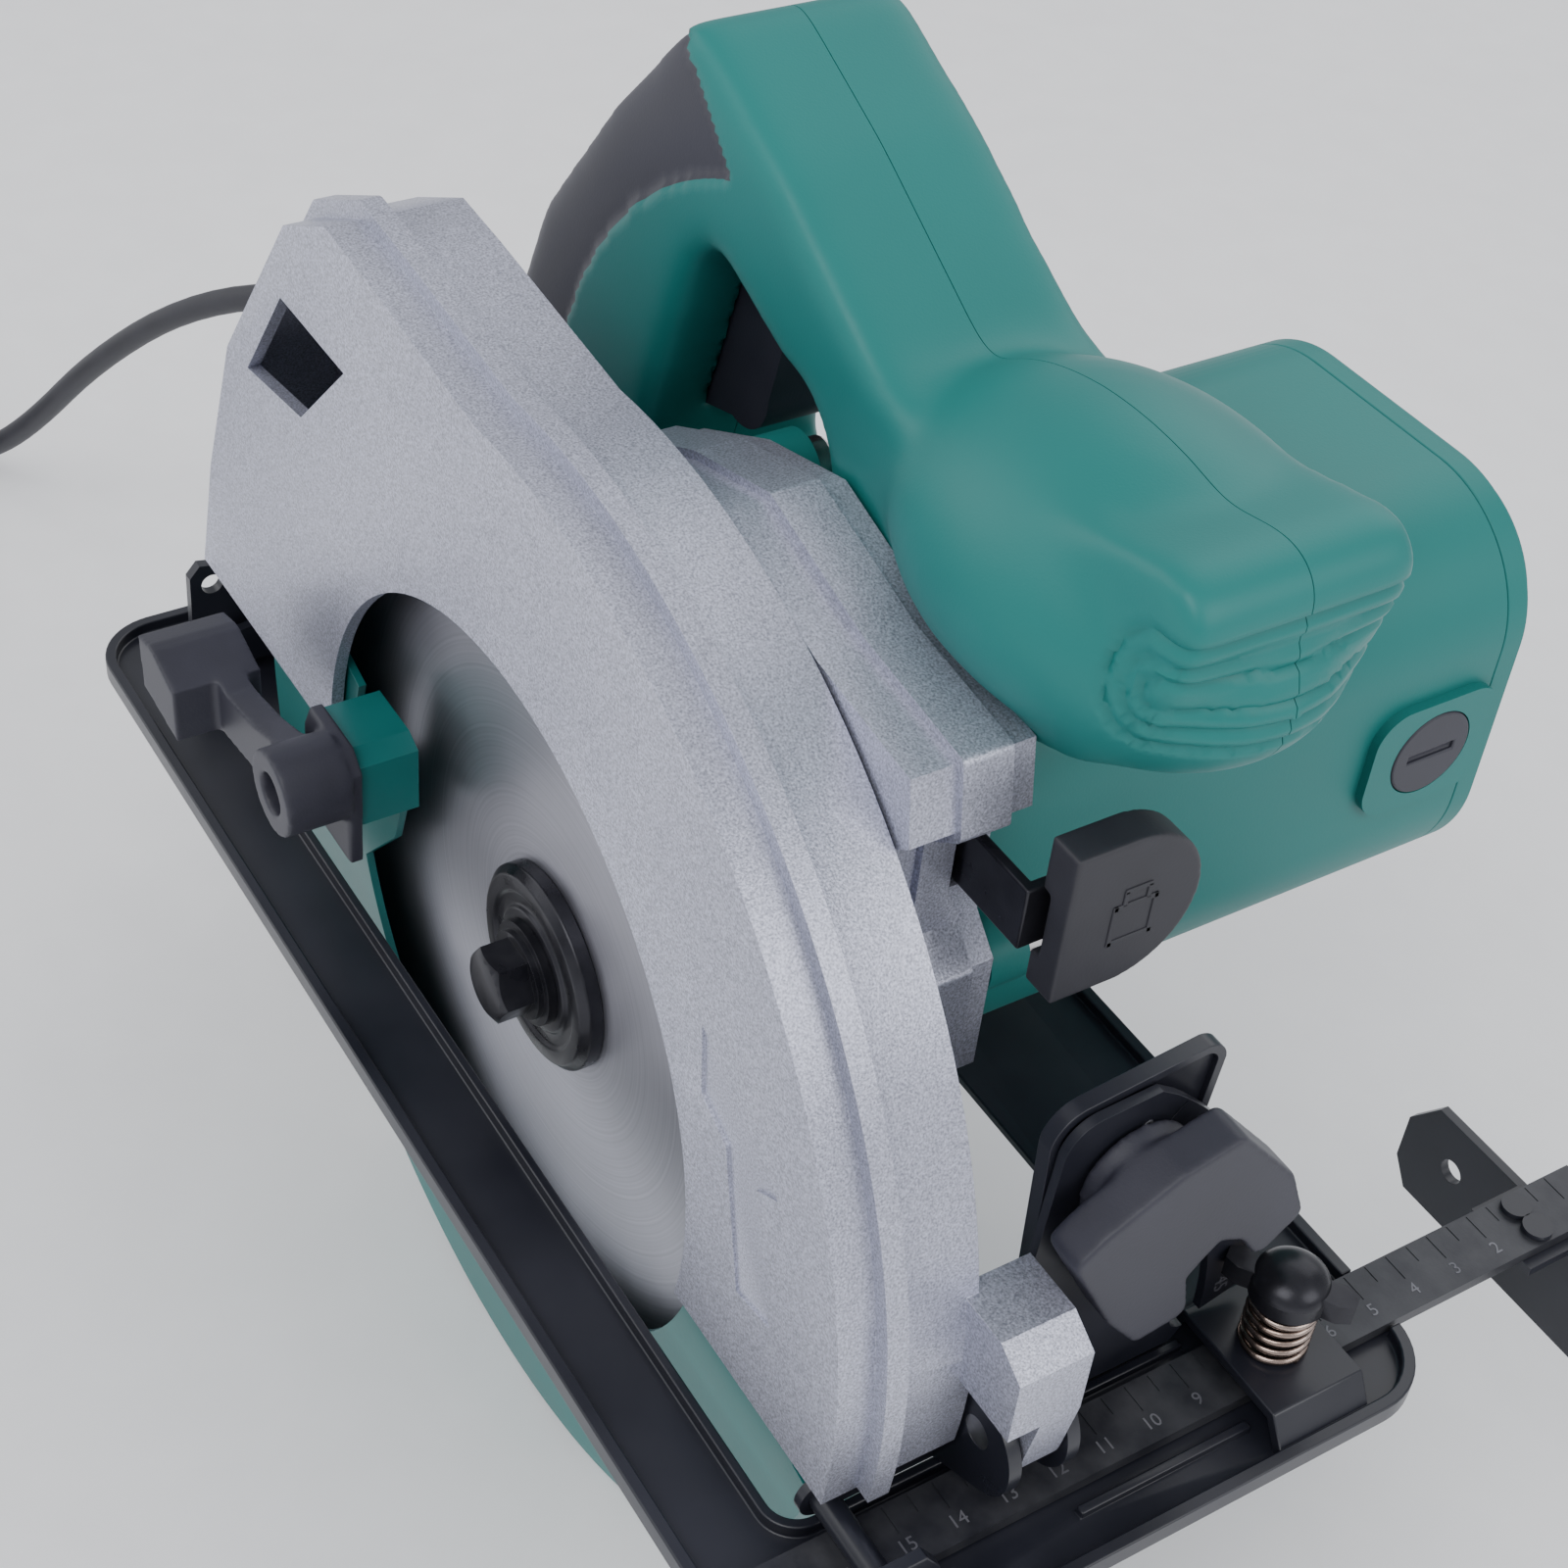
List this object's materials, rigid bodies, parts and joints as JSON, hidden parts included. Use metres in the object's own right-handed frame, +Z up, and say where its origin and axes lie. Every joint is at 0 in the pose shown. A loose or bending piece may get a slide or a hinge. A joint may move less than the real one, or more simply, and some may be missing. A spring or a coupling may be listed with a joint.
{
  "type": "circular saw",
  "caption": "Corded hand-held circular saw with bevel-tilting sole, depth swing, sprung lower guard, loop handle, spindle lock, rip fence and coiled mains lead.",
  "frame": {"origin": "on the sole's running face, directly below the arbor axis and midway across the sole's outer strip", "axes": "+X forward along the cut, +Y to the motor side along the arbor, +Z up from the sole's running face"},
  "size_m": [0.5876, 0.313, 0.2679],
  "materials": {
    "black_sheet": "satin black enamel",
    "zinc_steel": "zinc plated",
    "spring_steel": "bright drawn wire",
    "cast_silver": "satin die casting",
    "bearing_steel": "ground",
    "teal_plastic": "fine moulded texture",
    "bright_screw": "bright",
    "lamination": "stacked sheet",
    "copper": "enamelled",
    "black_plastic": "matt moulded",
    "brass_fitting": "turned",
    "carbon": "pressed carbon",
    "black_screw": "blackened",
    "black_rubber": "matt",
    "blade_steel": "ground radially",
    "black_steel": "blackened and oiled",
    "teal_paint": "semi gloss"
  },
  "bodies": {
    "base": {"sole_plate": "black_sheet", "bevel_post": "black_sheet", "bevel_stud": "zinc_steel", "post_rivets": "black_sheet", "front_tab": "black_sheet", "rear_tab": "black_sheet", "bevel_pins": "zinc_steel", "fence_spring": "spring_steel"},
    "tilt_frame": {"front_hinge": "black_sheet", "depth_pivot_pin": "zinc_steel", "depth_guide": "black_sheet"},
    "saw_body": {"upper_guard": "cast_silver", "housing_screws": "zinc_steel", "depth_bolt": "zinc_steel", "gear_housing": "cast_silver", "bearing_retainer": "zinc_steel", "arbor_bearings": "bearing_steel", "armature_bearings": "bearing_steel", "motor_housing": "teal_plastic", "end_cap": "teal_plastic", "clamp_screws": "bright_screw", "stator": "lamination", "field_coils": "copper", "brush_caps": "black_plastic", "brush_holders": "brass_fitting", "carbon_brushes": "carbon", "handle_right_shell": "teal_plastic", "handle_left_shell": "teal_plastic", "handle_screws": "black_screw", "switch_body": "black_plastic", "cord_sleeve": "black_rubber", "mains_cord": "black_rubber", "cord_coil": "black_rubber", "plug_body": "black_rubber", "plug_pins": "brass_fitting", "guard_spring": "spring_steel"},
    "blade_group": {"saw_blade": "blade_steel", "inner_flange": "black_steel", "outer_flange": "black_steel", "blade_bolt": "black_steel", "arbor_spindle": "zinc_steel", "drive_gear": "bearing_steel"},
    "armature": {"armature_shaft": "bearing_steel", "armature_core": "lamination", "armature_windings": "copper", "commutator": "copper", "fan": "black_plastic"},
    "lower_guard_group": {"lower_guard": "teal_paint", "return_lever": "black_plastic", "lever_screw": "zinc_steel"},
    "trigger_group": {"trigger": "black_plastic"},
    "lock_off_group": {"lock_off_button": "black_plastic"},
    "spindle_lock_group": {"lock_plate": "black_steel", "lock_cap": "black_rubber"},
    "bevel_knob_group": {"bevel_knob": "black_plastic"},
    "depth_lever_group": {"depth_lever": "black_plastic"},
    "fence_group": {"fence_bar": "black_sheet", "fence_guide": "black_sheet", "fence_rivets": "black_sheet"},
    "wing_screw_group": {"wing_screw": "black_steel"}
  },
  "joints": [
    {"name": "bevel_tilt", "type": "hinge", "parent": "base", "child": "tilt_frame", "pos_m": [0, 0.0155, 0.01], "axis": [1, 0, 0], "range_deg": [0, 45]},
    {"name": "depth_swing", "type": "hinge", "parent": "tilt_frame", "child": "saw_body", "pos_m": [0.117, 0.0445, 0.024], "axis": [0, 1, 0], "range_deg": [0, 26.5]},
    {"name": "blade_spin", "type": "hinge", "parent": "saw_body", "child": "blade_group", "pos_m": [0, 0.0235, 0.031], "axis": [0, 1, 0], "continuous": true},
    {"name": "armature_spin", "type": "hinge", "parent": "saw_body", "child": "armature", "pos_m": [0.015, 0.0235, 0.07295], "axis": [0, 1, 0], "continuous": true},
    {"name": "lower_guard_swing", "type": "hinge", "parent": "saw_body", "child": "lower_guard_group", "pos_m": [0, 0.0235, 0.031], "axis": [0, 1, 0], "range_deg": [0, 110], "stiffness_Nm_per_rad": 0.15, "springref_deg": -114.59},
    {"name": "trigger_pull", "type": "slide", "parent": "saw_body", "child": "trigger_group", "axis": [-1, 0, 0], "range_m": [0, 0.005], "stiffness_N_per_m": 900, "springref_m": -0.003},
    {"name": "lock_off_press", "type": "slide", "parent": "saw_body", "child": "lock_off_group", "axis": [0, -1, 0], "range_m": [0, 0.003], "stiffness_N_per_m": 500, "springref_m": -0.002},
    {"name": "spindle_lock_press", "type": "slide", "parent": "saw_body", "child": "spindle_lock_group", "axis": [-1, 0, 0], "range_m": [0, 0.004], "stiffness_N_per_m": 600, "springref_m": -0.003},
    {"name": "bevel_knob_turn", "type": "hinge", "parent": "base", "child": "bevel_knob_group", "pos_m": [0.112, 0.0665, 0.064], "axis": [1, 0, 0], "range_deg": [0, 90]},
    {"name": "depth_lever_turn", "type": "hinge", "parent": "saw_body", "child": "depth_lever_group", "pos_m": [-0.0716, 0.0435, 0.0472], "axis": [0, 1, 0], "range_deg": [0, 60]},
    {"name": "fence_slide", "type": "slide", "parent": "base", "child": "fence_group", "axis": [0, 1, 0], "range_m": [-0.028, 0.1]},
    {"name": "wing_screw_turn", "type": "hinge", "parent": "base", "child": "wing_screw_group", "pos_m": [0.1185, 0.1015, 0.015], "axis": [0, 0, 1], "range_deg": [0, 110]}
  ],
  "couplings": [
    {"joint": "armature_spin", "follows": "blade_spin", "ratio": -1.4545}
  ]
}
